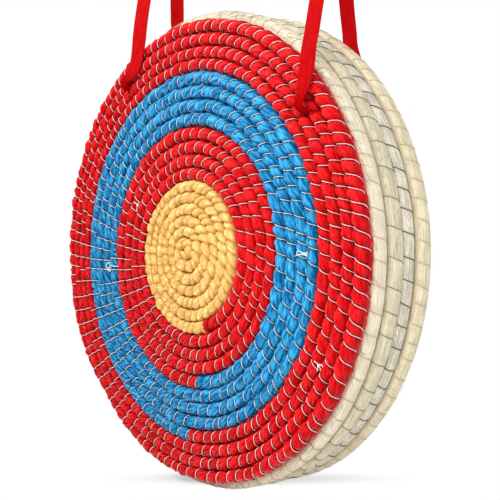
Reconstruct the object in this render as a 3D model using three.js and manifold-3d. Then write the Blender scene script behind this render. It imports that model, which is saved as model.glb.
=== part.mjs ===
// Archery target boss: a front coil of dyed rope over four coils of plain straw rope, tied through and
// hung by two webbing loops. Millimetres, +Z up. The face looks toward -Y, and the origin is the middle
// of the boss's box without its straps.
import * as THREE from "three";
import { mergeVertices } from "three/addons/utils/BufferGeometryUtils.js";
import Module from "manifold-3d";

const wasm = await Module();
wasm.setup();

// Driving sizes of the layers
const layerCount = 5;
const layerPitch = 19.6;
const layerGap = 0.3;

// Rope, shared by every coil
const turnGap = 0.8;
const buttGap = 0.3;
const ropeSectionShares = [[0.5, 0], [0.27, 0.5], [-0.27, 0.5], [-0.5, 0], [-0.27, -0.5], [0.27, -0.5]];
const tailTurnShare = 0.07;
const tailTipShare = 0.22;
const startTurnShare = 0.55;

// Front coil: the rope's spacing in each colour, and where it changes, counted in turns from the bottom
const goldPitch = 12.5;
const innerRedPitch = 14.38;
const bluePitch = 14.5;
const outerRedPitch = 13.3;
const goldTurns = 6.317;
const goldEndShare = 0.05;
const innerRedEndShare = 1 / 60;
const goldEndTurns = 6 + goldEndShare;
const innerRedEndTurns = 10 + innerRedEndShare;
const blueEndTurns = 14;
const outerRedEndTurns = 17.87;
const goldEyeLeft = 11;
const goldEyeUp = 3;
const outerDriftRight = 6;
const faceTallShare = 0.009;
const fineStepCount = 22;
const coarseTurns = 4;

// Straw coils behind it, from the second layer to the fifth
const strawPitch = 14.5;
const strawStepCount = 18;
const strawCoarseTurns = 5;
const strawLeadStepCount = 2;
const strawOuterTurns = 1 + strawLeadStepCount / strawStepCount;
const strawOverhang = 4.6;
const strawCentreRight = 4.9;
const strawCentreUp = 4.4;
const strawTallShare = 0.023;
const strawLayers = [
  { name: "straw_coil_2", radiusShare: 0.996, tailAngle: 150, colour: 0xddd2b4 },
  { name: "straw_coil_3", radiusShare: 1, tailAngle: 200, colour: 0xc9c3a4 },
  { name: "straw_coil_4", radiusShare: 0.996, tailAngle: 160, colour: 0xd8cfb5 },
  { name: "straw_coil_5", radiusShare: 1.004, tailAngle: 215, colour: 0xd5c9a2 },
];
const coreStepBack = 0.3;
const coreOverlap = 1.2;

// Through ties: a cord of this radius in a hole with this clearance, knotted at both ends
const tieRadius = 1;
const tieClearance = 0.3;
const knotRadius = 2.4;
const knotDepth = 1.2;
const knotPocketClearance = 0.4;
const tieTurns = [12.2528, 15.174, 7.668, 13.7778, 12.9778, 12.486];
const tieSides = 6;
const knotSides = 8;

// Hanging straps: flat webbing, gathered where it goes through the boss
const strapWidth = 20;
const strapThickness = 1.6;
const strapStandOff = 2.5;
const strapNeckRadius = 4;
const strapBoreClearance = 0.4;
const strapGatherLength = 34;
const strapRingCount = 40;
const strapBoreSides = 16;

const ropeHeight = layerPitch - layerGap;
const halfThickness = (layerCount * layerPitch - layerGap) / 2;
const fullTurn = 2 * Math.PI;
const bottomAngle = -Math.PI / 2;
const cutOverrun = 10;
const closeTurns = 0.004;
const neighbourTurns = [0.8, 1.2];
const grooveShare = 0.5;
const gatherRate = 3;

// A strap's route from its hole, up one side of the boss: across, out from the face's strap line, and up
const leftRoute = {
  holeTurn: 15.5867,
  front: [
    [0, -2, 0], [1.6, 2.2, 2.2], [7, 1.6, 8], [17, 0, 19], [22, 0, 31], [25.5, 0, 47], [27, -1, 64],
    [25.5, -5, 82], [21.5, -11, 100], [18, -17, 119], [15, -20, 137], [11, -27, 153], [7, -37, 165],
  ],
  top: [2, 170],
  rear: [
    [0, -2, 0], [-1, 2.2, 2.6], [-3.5, 1.6, 9], [-9, 0, 26], [-14, -1, 45], [-17.5, -6, 62],
    [-19.4, -13.5, 83], [-15.5, -17.5, 100], [-10.6, -21.5, 117], [-7.5, -24, 134], [-4.5, -30, 151],
    [-1.5, -39, 164],
  ],
};
const rightRoute = {
  holeTurn: 15.3594,
  front: [
    [0, -2, 0], [0.6, 2.2, 2.6], [3, 1.6, 9], [7.9, 0, 25], [12, 0, 42], [14.2, 0, 56], [15, -3, 71],
    [13.6, -8, 88], [11.6, -13.5, 105], [9, -18, 122], [6, -23, 138], [2, -31, 153], [-3, -41, 165],
  ],
  top: [-8, 169],
  rear: [
    [0, -2, 0], [-1.2, 2.2, 2.6], [-4.5, 1.6, 10], [-13, 0, 32], [-22, 0, 54], [-28.5, 0, 73],
    [-30, 0, 88], [-29.5, -3.5, 106], [-27.4, -8, 121], [-24, -15, 139], [-19.5, -25, 154],
    [-14, -39, 166],
  ],
};

// A closed tube through rings of points that lie the same way round
function tube(rings, isLoop = false) {
  const sides = rings[0].length;
  const positions = rings.flat().flatMap((point) => [point.x, point.y, point.z]);
  const indices = [];
  const spans = isLoop ? rings.length : rings.length - 1;
  for (let i = 0; i < spans; i++) {
    const here = i * sides;
    const next = ((i + 1) % rings.length) * sides;
    for (let j = 0; j < sides; j++) {
      const k = (j + 1) % sides;
      indices.push(here + j, here + k, next + j, here + k, next + k, next + j);
    }
  }
  if (!isLoop) {
    const last = (rings.length - 1) * sides;
    for (let j = 1; j < sides - 1; j++) {
      indices.push(0, j + 1, j, last, last + j, last + j + 1);
    }
  }
  const geometry = new THREE.BufferGeometry();
  geometry.setAttribute("position", new THREE.Float32BufferAttribute(positions, 3));
  geometry.setIndex(indices);
  return geometry;
}

// Booleans
function toSolid(geometry) {
  const bare = geometry.clone();
  bare.deleteAttribute("normal");
  bare.deleteAttribute("uv");
  const merged = mergeVertices(bare);
  const vertProperties = new Float32Array(merged.attributes.position.array);
  const triVerts = new Uint32Array(merged.index.array);
  return new wasm.Manifold(new wasm.Mesh({ numProp: 3, vertProperties, triVerts }));
}

function toGeometry(solid) {
  const mesh = solid.getMesh();
  const geometry = new THREE.BufferGeometry();
  geometry.setAttribute("position", new THREE.Float32BufferAttribute(mesh.vertProperties, 3));
  geometry.setIndex(Array.from(mesh.triVerts));
  return geometry;
}

function cylinderAlongY(radius, fromY, toY, place, segments) {
  const geometry = new THREE.CylinderGeometry(radius, radius, toY - fromY, segments);
  geometry.translate(place.x, (fromY + toY) / 2, place.z);
  return geometry;
}

// Coils. A coil gives, at each turn count, the angle, the radius and the eye that the radius is about, and
// it is taller than round by its tall share and narrower by the same share
function spacing(knots, turn) {
  let i = 0;
  while (i < knots.length - 2 && turn > knots[i + 1][0]) i++;
  const [turnA, valueA] = knots[i];
  const [turnB, valueB] = knots[i + 1];
  return valueA + ((turn - turnA) * (valueB - valueA)) / (turnB - turnA);
}

const goldStartTurns = goldEndTurns - goldTurns;
const goldEndRadius = goldPitch * goldTurns;
const innerRedEndRadius = goldEndRadius + innerRedPitch * (innerRedEndTurns - goldEndTurns);
const blueEndRadius = innerRedEndRadius + bluePitch * (blueEndTurns - innerRedEndTurns);
const outerRedEndRadius = blueEndRadius + outerRedPitch * (outerRedEndTurns - blueEndTurns);
const strawRadius = outerRedEndRadius + strawOverhang;
const faceRadii = [
  [goldStartTurns, 0],
  [goldEndTurns, goldEndRadius],
  [innerRedEndTurns, innerRedEndRadius],
  [blueEndTurns, blueEndRadius],
  [outerRedEndTurns, outerRedEndRadius],
];
const eyeKnots = (start, end) => [
  [goldStartTurns, start],
  [goldEndTurns, 0],
  [blueEndTurns, 0],
  [outerRedEndTurns, end],
];
const eyeRights = eyeKnots(-goldEyeLeft, outerDriftRight);
const eyeUps = eyeKnots(goldEyeUp, 0);

const faceCoil = {
  y: (layerPitch - layerPitch * layerCount) / 2,
  angleAt: (turn) => bottomAngle + fullTurn * turn,
  radiusAt: (turn) => spacing(faceRadii, turn),
  eyeAt: (turn) => ({ x: spacing(eyeRights, turn), z: spacing(eyeUps, turn) }),
  tallShare: faceTallShare,
  lastTurn: outerRedEndTurns,
};

function strawCoil(layer, index) {
  const tail = THREE.MathUtils.degToRad(layer.tailAngle);
  const outerRadius = strawRadius * layer.radiusShare + strawPitch / 2;
  const lastTurn = Math.ceil(outerRadius / strawPitch);
  const lean = strawPitch / Math.PI;
  const eye = {
    x: strawCentreRight - lean * Math.sin(tail),
    z: strawCentreUp + lean * Math.cos(tail),
  };
  return {
    y: faceCoil.y + layerPitch * (index + 1),
    angleAt: (turn) => tail + fullTurn * (turn - lastTurn),
    radiusAt: (turn) => outerRadius - strawPitch / 2 + strawPitch * (turn - lastTurn),
    eyeAt: () => eye,
    tallShare: strawTallShare,
    lastTurn,
    firstTurn: lastTurn - outerRadius / strawPitch + 1 / 2 + startTurnShare,
  };
}

// A place on a coil's middle plane: on the rope at this turn, or across turns beside it
function coilPlace(coil, turn, across = 0) {
  const angle = coil.angleAt(turn);
  const radius = Math.max(coil.radiusAt(turn + across), 0);
  const eye = coil.eyeAt(turn + across);
  return {
    x: eye.x + (1 - coil.tallShare) * radius * Math.cos(angle),
    z: eye.z + (1 + coil.tallShare) * radius * Math.sin(angle),
  };
}

function ropeRing(coil, turn) {
  const pitch = coil.radiusAt(turn + 0.5) - coil.radiusAt(turn - 0.5);
  const fillShare = 1 - turnGap / pitch;
  const tailShare = Math.min(1, (coil.lastTurn - turn) / tailTurnShare);
  const widthShare = tailTipShare + (1 - tailTipShare) * tailShare;
  return ropeSectionShares.map(([across, along]) => {
    const taperedAcross = (across + 0.5) * widthShare - 0.5;
    const place = coilPlace(coil, turn, taperedAcross * fillShare);
    const height = ropeHeight * along * (1 + widthShare) / 2;
    return new THREE.Vector3(place.x, coil.y + height, place.z);
  });
}

// The turns at which a rope has a ring, on the same angles in every turn, with fewer near the eye
function ringTurns(stepShares, first, last, coarseBefore) {
  const turns = [first];
  for (let whole = Math.floor(first); whole <= Math.ceil(last); whole++) {
    stepShares.forEach((share, index) => {
      const turn = whole + share;
      const isKept = turn >= coarseBefore || index % 2 === 0;
      if (isKept && turn > first + closeTurns && turn < last - closeTurns) turns.push(turn);
    });
  }
  turns.push(last);
  return turns;
}

const wideSteps = Array.from({ length: fineStepCount }, (_, step) => (
  goldEndShare + ((1 - goldEndShare) * step) / fineStepCount
));
const faceStepShares = [0, innerRedEndShare, ...wideSteps];
const strawStepShares = Array.from({ length: strawStepCount }, (_, step) => step / strawStepCount);

function ropeRings(coil, turns) {
  return turns.map((turn) => ropeRing(coil, turn));
}

// The points of a rope's surface: its corners, and the middles of its edges along and around it
function surfacePoints(rings) {
  return rings.map((ring, index) => {
    const next = rings[Math.min(index + 1, rings.length - 1)];
    return ring.flatMap((corner, side) => [
      corner,
      corner.clone().lerp(next[side], 0.5),
      corner.clone().lerp(ring[(side + 1) % ring.length], 0.5),
    ]);
  });
}

// The least distance between points of a rope and points of the same rope about a turn further out
function printLeastGap(name, rings, turns) {
  const points = surfacePoints(rings);
  let least = Infinity;
  for (let i = 0; i < rings.length; i++) {
    for (let k = i + 1; k < rings.length; k++) {
      const apart = turns[k] - turns[i];
      if (apart < neighbourTurns[0] || apart > neighbourTurns[1]) continue;
      for (const from of points[i]) {
        for (const to of points[k]) least = Math.min(least, from.distanceTo(to));
      }
    }
  }
  if (!Number.isFinite(least)) throw new Error(`${name}: no points a turn apart were compared`);
  console.log(`${name}: least gap to itself ${least.toFixed(2)} mm over ${rings.length} rings`);
}

// Holes for the straps and ties, in the groove beside a turn of the front coil
const strapHoles = [leftRoute, rightRoute].map((route) => coilPlace(faceCoil, route.holeTurn, grooveShare));
const tiePlaces = tieTurns.map((turn) => coilPlace(faceCoil, turn, grooveShare));
const frontCutY = -halfThickness - cutOverrun;
const rearCutY = halfThickness + cutOverrun;

function cutters(places, radius, fromY, toY, sides) {
  return places.map((place) => toSolid(cylinderAlongY(radius, fromY, toY, place, sides)));
}

const strapBoreRadius = strapNeckRadius + strapBoreClearance;
const tieBoreRadius = tieRadius + tieClearance;
const knotPocketRadius = knotRadius + knotPocketClearance;
const knotPocketDepth = knotDepth + knotRadius + knotPocketClearance;
const frontPocketY = -halfThickness + knotPocketDepth;
const rearPocketY = halfThickness - knotPocketDepth;
const strapBores = cutters(strapHoles, strapBoreRadius, frontCutY, rearCutY, strapBoreSides);
const tieBores = cutters(tiePlaces, tieBoreRadius, frontCutY, rearCutY, tieSides);
const frontPockets = cutters(tiePlaces, knotPocketRadius, frontCutY, frontPocketY, knotSides);
const rearPockets = cutters(tiePlaces, knotPocketRadius, rearPocketY, rearCutY, knotSides);

function bored(geometry, bores) {
  let solid = toSolid(geometry);
  for (const bore of bores) solid = solid.subtract(bore);
  return toGeometry(solid);
}

// Ropes of the front coil, which butt against each other where the colour changes
function faceRope(name, first, last) {
  const gapAt = (turn) => buttGap / 2 / (fullTurn * Math.max(faceCoil.radiusAt(turn), goldPitch));
  const start = first + gapAt(first);
  const end = last - (last < faceCoil.lastTurn ? gapAt(last) : 0);
  const turns = ringTurns(faceStepShares, start, end, coarseTurns);
  const rings = ropeRings(faceCoil, turns);
  printLeastGap(name, rings, turns);
  return bored(tube(rings), [...strapBores, ...tieBores, ...frontPockets]);
}

// Straw coils: the middle three are a plain core with their outer turn, and the back one is wound whole
function strawCore(coil, from) {
  const outline = new THREE.Shape();
  const inwardAt = (turn) => coilPlace(coil, turn, -0.5 + turnGap / strawPitch + coreOverlap / strawPitch);
  for (let step = 0; step <= strawStepCount; step++) {
    const place = inwardAt(from + step / strawStepCount);
    if (step === 0) outline.moveTo(place.x, -place.z);
    else outline.lineTo(place.x, -place.z);
  }
  outline.closePath();
  const height = ropeHeight - 2 * coreStepBack;
  const geometry = new THREE.ExtrudeGeometry(outline, { depth: height, bevelEnabled: false });
  geometry.rotateX(Math.PI / 2);
  geometry.translate(0, coil.y + height / 2, 0);
  return geometry;
}

function middleStraw(name, coil) {
  const first = coil.lastTurn - strawOuterTurns;
  const turns = ringTurns(strawStepShares, first, coil.lastTurn, 0);
  const rings = ropeRings(coil, turns);
  printLeastGap(name, rings, turns);
  const core = toSolid(strawCore(coil, coil.lastTurn - 1));
  const whole = toSolid(tube(rings)).add(core);
  return bored(toGeometry(whole), [...strapBores, ...tieBores]);
}

function backStraw(name, coil) {
  const turns = ringTurns(strawStepShares, coil.firstTurn, coil.lastTurn, strawCoarseTurns);
  const rings = ropeRings(coil, turns);
  printLeastGap(name, rings, turns);
  return bored(tube(rings), [...strapBores, ...tieBores, ...rearPockets]);
}

// Through ties
function layerTie(place) {
  const frontY = -halfThickness + knotDepth;
  const rearY = halfThickness - knotDepth;
  const knot = (y) => {
    const geometry = new THREE.SphereGeometry(knotRadius, knotSides, knotSides / 2);
    geometry.translate(place.x, y, place.z);
    return toSolid(geometry);
  };
  const cord = toSolid(cylinderAlongY(tieRadius, frontY, rearY, place, tieSides));
  return toGeometry(cord.add(knot(frontY)).add(knot(rearY)));
}

// Straps
const gatheredShares = [0, 1, 2, 3, 4, 5, 6, 7].map((corner) => {
  const angle = ((corner + 0.5) * Math.PI) / 4;
  return [Math.cos(angle), Math.sin(angle)];
});
const flatShares = [
  [1, 0.5], [0.9, 1], [-0.9, 1], [-1, 0.5], [-1, -0.5], [-0.9, -1], [0.9, -1], [1, -0.5],
];

function strapRing(middle, tangent, openShare) {
  const width = new THREE.Vector3(1, 0, 0).addScaledVector(tangent, -tangent.x).normalize();
  const depth = new THREE.Vector3().crossVectors(tangent, width);
  const halfWidth = THREE.MathUtils.lerp(strapNeckRadius, strapWidth / 2, openShare);
  const thinning = Math.min(1, openShare * gatherRate);
  const halfDepth = THREE.MathUtils.lerp(strapNeckRadius, strapThickness / 2, Math.sqrt(thinning));
  return gatheredShares.map((gathered, corner) => {
    const across = THREE.MathUtils.lerp(gathered[0], flatShares[corner][0], thinning) * halfWidth;
    const through = THREE.MathUtils.lerp(gathered[1], flatShares[corner][1], thinning) * halfDepth;
    return middle.clone().addScaledVector(width, across).addScaledVector(depth, through);
  });
}

function strapRoute(route, hole) {
  const line = halfThickness + strapStandOff;
  const side = (rows, sign) => rows.map(([across, out, up]) => (
    new THREE.Vector3(hole.x + across, sign * (line + out), hole.z + up)
  ));
  const top = new THREE.Vector3(hole.x + route.top[0], 0, hole.z + route.top[1]);
  return [...side(route.front, -1), top, ...side(route.rear, 1).reverse()];
}

function strap(route, hole) {
  const curve = new THREE.CatmullRomCurve3(strapRoute(route, hole), false, "centripetal");
  const length = curve.getLength();
  const rings = [];
  for (let step = 0; step <= strapRingCount; step++) {
    const share = step / strapRingCount;
    const fromHole = Math.min(share, 1 - share) * length;
    const tangent = curve.getTangentAt(share);
    if (step === 0 || step === strapRingCount) tangent.set(0, -1, 0);
    const openShare = Math.min(1, fromHole / strapGatherLength);
    rings.push(strapRing(curve.getPointAt(share), tangent, openShare));
  }
  console.log(`strap outside the boss ${length.toFixed(0)} mm`);
  return tube(rings, true);
}

// Colours and the assembly
function finish(colour, roughness) {
  return new THREE.MeshStandardMaterial({ color: colour, roughness, metalness: 0 });
}

const boss = new THREE.Group();
const goldFirstTurns = goldStartTurns + startTurnShare;
const ropes = [
  { name: "gold_coil", colour: 0xf0c060, from: goldFirstTurns, to: goldEndTurns },
  { name: "inner_red_coil", colour: 0xd8242c, from: goldEndTurns, to: innerRedEndTurns },
  { name: "blue_coil", colour: 0x3d97d6, from: innerRedEndTurns, to: blueEndTurns },
  { name: "outer_red_coil", colour: 0xd8242c, from: blueEndTurns, to: outerRedEndTurns },
];
for (const rope of ropes) {
  const mesh = new THREE.Mesh(faceRope(rope.name, rope.from, rope.to), finish(rope.colour, 0.45));
  mesh.name = rope.name;
  boss.add(mesh);
}

strawLayers.forEach((layer, index) => {
  const coil = strawCoil(layer, index);
  const isBack = index === strawLayers.length - 1;
  const geometry = isBack ? backStraw(layer.name, coil) : middleStraw(layer.name, coil);
  const mesh = new THREE.Mesh(geometry, finish(layer.colour, 0.8));
  mesh.name = layer.name;
  boss.add(mesh);
});

tiePlaces.forEach((place, index) => {
  const mesh = new THREE.Mesh(layerTie(place), finish(0xf2efe6, 0.7));
  mesh.name = `layer_tie_${index + 1}`;
  boss.add(mesh);
});

const bossBox = new THREE.Box3().setFromObject(boss);
const group = new THREE.Group();
group.add(boss);

[leftRoute, rightRoute].forEach((route, index) => {
  const mesh = new THREE.Mesh(strap(route, strapHoles[index]), finish(0xe02020, 0.6));
  mesh.name = index === 0 ? "left_strap" : "right_strap";
  group.add(mesh);
});

group.position.copy(bossBox.getCenter(new THREE.Vector3())).negate();

export default group;
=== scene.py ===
# Archery target boss: dyed rope sewn in a coil over four layers of straw rope, with through ties and two
# webbing loops. Driving sizes are in millimetres, +Z up, and the face looks toward -Y.
import math

import bpy
import numpy as np
from mathutils import Matrix, Vector


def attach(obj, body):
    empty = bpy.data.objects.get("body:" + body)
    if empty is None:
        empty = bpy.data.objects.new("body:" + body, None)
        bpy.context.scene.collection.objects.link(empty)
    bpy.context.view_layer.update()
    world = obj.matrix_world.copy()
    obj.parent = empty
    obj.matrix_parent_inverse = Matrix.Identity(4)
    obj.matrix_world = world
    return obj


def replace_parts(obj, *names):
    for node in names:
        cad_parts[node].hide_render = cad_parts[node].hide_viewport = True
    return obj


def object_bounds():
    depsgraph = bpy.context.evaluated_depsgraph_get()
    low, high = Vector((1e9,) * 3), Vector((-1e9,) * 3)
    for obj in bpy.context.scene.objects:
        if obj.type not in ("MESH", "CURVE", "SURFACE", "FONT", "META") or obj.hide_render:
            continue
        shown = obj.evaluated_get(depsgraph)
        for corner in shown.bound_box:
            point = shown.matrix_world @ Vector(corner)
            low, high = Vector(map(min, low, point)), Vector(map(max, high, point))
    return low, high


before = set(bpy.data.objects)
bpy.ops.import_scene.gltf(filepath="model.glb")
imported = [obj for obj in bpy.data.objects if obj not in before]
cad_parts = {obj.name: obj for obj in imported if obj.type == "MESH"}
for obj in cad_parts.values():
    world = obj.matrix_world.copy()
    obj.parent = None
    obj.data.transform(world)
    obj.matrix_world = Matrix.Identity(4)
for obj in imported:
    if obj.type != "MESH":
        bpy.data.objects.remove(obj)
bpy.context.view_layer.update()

METRES_PER_MM = 0.001
FULL_TURN = 2 * math.pi
HALF_TURN = math.pi
QUARTER_TURN = math.pi / 2

# Where the source's own zero lies in the frame
SOURCE_SHIFT = (-4.0192, -4.1112)

# Layers
LAYER_COUNT = 5
LAYER_PITCH = 19.6
LAYER_GAP = 0.3
ROPE_HEIGHT = LAYER_PITCH - LAYER_GAP
HALF_THICKNESS = (LAYER_COUNT * LAYER_PITCH - LAYER_GAP) / 2

# Face coil: each colour's rope spacing and where it changes, counted in turns from the bottom
GOLD_PITCH = 12.5
INNER_RED_PITCH = 14.38
BLUE_PITCH = 14.5
OUTER_RED_PITCH = 13.3
GOLD_TURNS = 6.317
GOLD_END_TURNS = 6.05
INNER_RED_END_TURNS = 10 + 1 / 60
BLUE_END_TURNS = 14
OUTER_RED_END_TURNS = 17.87
GOLD_EYE_LEFT = 11
GOLD_EYE_UP = 3
OUTER_DRIFT_RIGHT = 6
FACE_TALL_SHARE = 0.009
START_TURN_SHARE = 0.55
EYE_TURN_SHARE = 0.3
TAIL_TURN_SHARE = 0.07
TAIL_TIP_SHARE = 0.22

# Across a rope, as shares of its width: the grooves that it shares with the turns inside and outside it
INNER_GROOVE = -0.5
OUTER_GROOVE = 0.5

# Straw coils
STRAW_PITCH = 14.5
STRAW_OVERHANG = 4.6
STRAW_CENTRE_RIGHT = 4.9
STRAW_CENTRE_UP = 4.4
STRAW_TALL_SHARE = 0.023
STRAW_OUTER_TURNS = 1 + 1 / 9
CORE_STEPS = 72
CORE_EDGE_SHARE = -0.44
CORE_FACE_SHARES = (-0.47, 0.47)
CORE_GRAIN_SHARE = 0.5

# How finely a rope's skin is made
FACE_STEP = 1.0
RIM_STEP = 1.2
BACK_STEP = 1.7
TURN_SAMPLES = 720
SHOWN_SIDES = 40
HIDDEN_SIDES = 8
GIRTH_STEPS = 721
NEAREST_STEPS = 4000
NOISE_CELLS = 128
NOISE_MEAN = 0.5

# How a rope's skin varies: stitch lines, plumpness, folds, bulges, sway and grooves
JOIN_SHARES = (0.65, 1.4)
JOIN_JITTER_SHARE = 0.04
PLUMP_SKEW_SHARE = 0.35
PLUMP_POWER = 0.7
FOLD_SHIFT = 7
FOLD_SHADE_POWER = 1.5
PATCH_RATE = 1.6
PATCH_SHIFT = 50
PATCH_EDGE_SHARE = 0.3
BULGE_SIZE = 5
BULGE_SHIFT = 9
SWAY_LENGTH = 31
TINT_SHIFT = 8
GROOVE_START_SHARE = 0.72
RIM_WRAP_SHARE = 0.4
RIM_WRAP_ANGLE = math.radians(40)

# Sewing thread
FACE_THREAD_RADIUS = 0.34
GOLD_THREAD_RADIUS = 0.16
THREAD_RINGS = 17
THREAD_SIDES = 8
THREAD_LIFT_SHARE = 0.7
LEAN_JITTER_SHARE = 0.25
STITCH_SHIFT = 3.7

# Straps, and how far each stitch stays from their holes
STRAP_WIDTH = 20
STRAP_THICKNESS = 1.6
STRAP_STAND_OFF = 2.5
STRAP_LIFT = 1.0
STRAP_NECK_RADIUS = 4
STRAP_GATHER_LENGTH = 34
STRAP_GATHER_POWER = 1.5
STRAP_EASE_SHARE = 0.65
STRAP_TWIST_START = 12
STRAP_TWIST_LENGTH = 50
STRAP_TUCK = 12
STRAP_BOW = 0.35
STRAP_STEP = 1.6
STRAP_CURVE_STEPS = 40
STRAP_ACROSS_STEPS = 25
STRAP_EDGE_POWER = 14
NECK_THICK_SHARE = 0.9
PLEAT_HALF_WAVES = 3.2
PLEAT_DEPTH = 1.7
PLEAT_TOP_SHARE = 0.8
PLEAT_FADE_SHARE = 0.35
EDGE_SHADE_POWER = 10
EDGE_SHADE_SHARE = 0.45
HOLE_CLEARANCE = 9
LEFT_STRAP = {
    "hole_turn": 15.5867,
    "length": 394,
    "twist": 14,
    "neck_right": 0,
    "pleat_shift": 0,
    "front": [
        (0, -2, 0), (1.6, 2.2, 2.2), (7, 1.6, 8), (17, 0, 19), (22, 0, 31), (25.5, 0, 47), (27, -1, 64),
        (25.5, -5, 82), (21.5, -11, 100), (18, -17, 119), (15, -20, 137), (11, -27, 153), (7, -37, 165),
    ],
    "top": (2, 170),
    "rear": [
        (0, -2, 0), (-1, 2.2, 2.6), (-3.5, 1.6, 9), (-9, 0, 26), (-14, -1, 45), (-17.5, -6, 62),
        (-19.4, -13.5, 83), (-15.5, -17.5, 100), (-10.6, -21.5, 117), (-7.5, -24, 134), (-4.5, -30, 151),
        (-1.5, -39, 164),
    ],
}
RIGHT_STRAP = {
    "hole_turn": 15.3594,
    "length": 395,
    "twist": 0,
    "neck_right": 4,
    "pleat_shift": 0.8,
    "front": [
        (0, -2, 0), (0.6, 2.2, 2.6), (3, 1.6, 9), (7.9, 0, 25), (12, 0, 42), (14.2, 0, 56), (15, -3, 71),
        (13.6, -8, 88), (11.6, -13.5, 105), (9, -18, 122), (6, -23, 138), (2, -31, 153), (-3, -41, 165),
    ],
    "top": (-8, 169),
    "rear": [
        (0, -2, 0), (-1.2, 2.2, 2.6), (-4.5, 1.6, 10), (-13, 0, 32), (-22, 0, 54), (-28.5, 0, 73),
        (-30, 0, 88), (-29.5, -3.5, 106), (-27.4, -8, 121), (-24, -15, 139), (-19.5, -25, 154),
        (-14, -39, 166),
    ],
}

# Through ties and their knots
TIE_TURNS = [12.2528, 15.174, 7.668, 13.7778, 12.9778, 12.486]
TIE_RADIUS = 1
TIE_STEPS = 40
CORD_GRAIN = 0.5
KNOT_RADIUS = 0.42
KNOT_CORE_RADIUS = 0.8
KNOT_CORE_TURNS = 2
KNOT_CORE_STEPS = 50
KNOT_CORE_WAVES = 1.5
KNOT_CORE_WAVE_SHARE = 0.4
KNOT_LOOP_STEPS = 40
KNOT_LOOP_SLIMNESS = 1.3
KNOT_TAIL_STEPS = 14
KNOT_BRIDGE_DEPTH = 1.6
BACK_KNOT_SPIN = 60

# Camera
CAMERA_PLACE = (828.511, -708.05, 19.049)
CAMERA_RIGHT = (0.66848, 0.74373, 0)
CAMERA_UP = (-0.01307, 0.01174, 0.99985)
CAMERA_BACK = (0.74362, -0.66838, 0.01757)
CAMERA_LENS = 71.26
CAMERA_SENSOR = 36


def make_camera():
    data = bpy.data.cameras.new("camera")
    data.sensor_width = CAMERA_SENSOR
    data.lens = CAMERA_LENS
    camera = bpy.data.objects.new("camera", data)
    bpy.context.scene.collection.objects.link(camera)
    turn = Matrix((CAMERA_RIGHT, CAMERA_UP, CAMERA_BACK)).transposed().to_4x4()
    camera.matrix_world = Matrix.Translation(Vector(CAMERA_PLACE) * METRES_PER_MM) @ turn
    bpy.context.scene.camera = camera


make_camera()


# Colours and node helpers
def colour(red, green, blue):
    """A colour as it is seen on a screen, from 0 to 255, as the linear one that a shader takes."""
    shares = [value / 255 for value in (red, green, blue)]
    linear = [s / 12.92 if s <= 0.04045 else ((s + 0.055) / 1.055) ** 2.4 for s in shares]
    return (*linear, 1)


class Nodes:
    """The nodes of a material or a world. Each input is given as a number or as another node's output."""

    def __init__(self, made, shader="Principled BSDF"):
        made.use_nodes = True
        self.made = made
        self.tree = made.node_tree
        self.shader = self.tree.nodes[shader]

    def fill(self, node, inputs):
        for key, value in inputs.items():
            if isinstance(value, bpy.types.NodeSocket):
                self.tree.links.new(value, node.inputs[key])
            else:
                node.inputs[key].default_value = value
        return node

    def add(self, kind, inputs, **settings):
        node = self.tree.nodes.new(kind)
        for key, value in settings.items():
            setattr(node, key, value)
        return self.fill(node, inputs)

    def maths(self, operation, first, second=0.0, third=0.0):
        return self.add("ShaderNodeMath", {0: first, 1: second, 2: third}, operation=operation).outputs[0]

    def ramp(self, value, band, low_out=0.0, high_out=1.0):
        """Goes smoothly from one number to another while a value crosses a band."""
        inputs = {0: value, 1: band[0], 2: band[1], 3: low_out, 4: high_out}
        return self.add("ShaderNodeMapRange", inputs, interpolation_type="SMOOTHSTEP").outputs[0]

    def mix(self, share, first, second):
        node = self.tree.nodes.new("ShaderNodeMix")
        node.data_type = "RGBA"
        return self.fill(node, {0: share, 6: first, 7: second}).outputs[2]

    def attribute(self, name):
        return self.add("ShaderNodeAttribute", {}, attribute_name=name)

    def noise(self, place, scales, detail):
        """Noise whose cells are as long as one over each scale."""
        stretched = self.add("ShaderNodeMapping", {"Vector": place, "Scale": scales}).outputs["Vector"]
        inputs = {"Vector": stretched, "Scale": 1.0, "Detail": detail, "Roughness": 0.55}
        return self.add("ShaderNodeTexNoise", inputs).outputs["Fac"]

    def bump(self, height, strength, distance, normal=None):
        inputs = {"Height": height, "Strength": strength, "Distance": distance}
        if normal is not None:
            inputs["Normal"] = normal
        return self.add("ShaderNodeBump", inputs).outputs["Normal"]


# Rope: each look's scales are along, across and between the fibres, per millimetre, its depths in
# metres, and its roughness between wisps and on them
WIDE_BAND = (0.3, 0.7)
FIBRE_BUMP = 0.5
DYED_LOOK = {
    "wisps": (0.06, 0.35, 3.0), "hairs": (0.08, 1.3, 3.0), "blotches": (0.06, 0.05, 5.0),
    "blotch_share": 0.3, "hair_share": 0.06, "painted_shade_share": 0.95, "wisp_depth": 0.0003,
    "hair_depth": 0.0001, "roughness": (0.48, 0.34),"specular": 0.27,
}
GOLD_LOOK = dict(
    DYED_LOOK, wisps=(0.07, 0.6, 3.0), hairs=(0.08, 0.9, 3.0), blotches=(0.12, 0.12, 5.0),
    blotch_share=0.55, hair_share=0.45, painted_shade_share=0.9, roughness=(0.58, 0.44), specular=0.25,
)
STRAW_LOOK = dict(
    DYED_LOOK, wisps=(0.03, 0.8, 2.0), hairs=(0.04, 1.7, 2.0), hair_share=0.65, painted_shade_share=0.85,
    roughness=(0.7, 0.56), specular=0.2,
)


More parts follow.
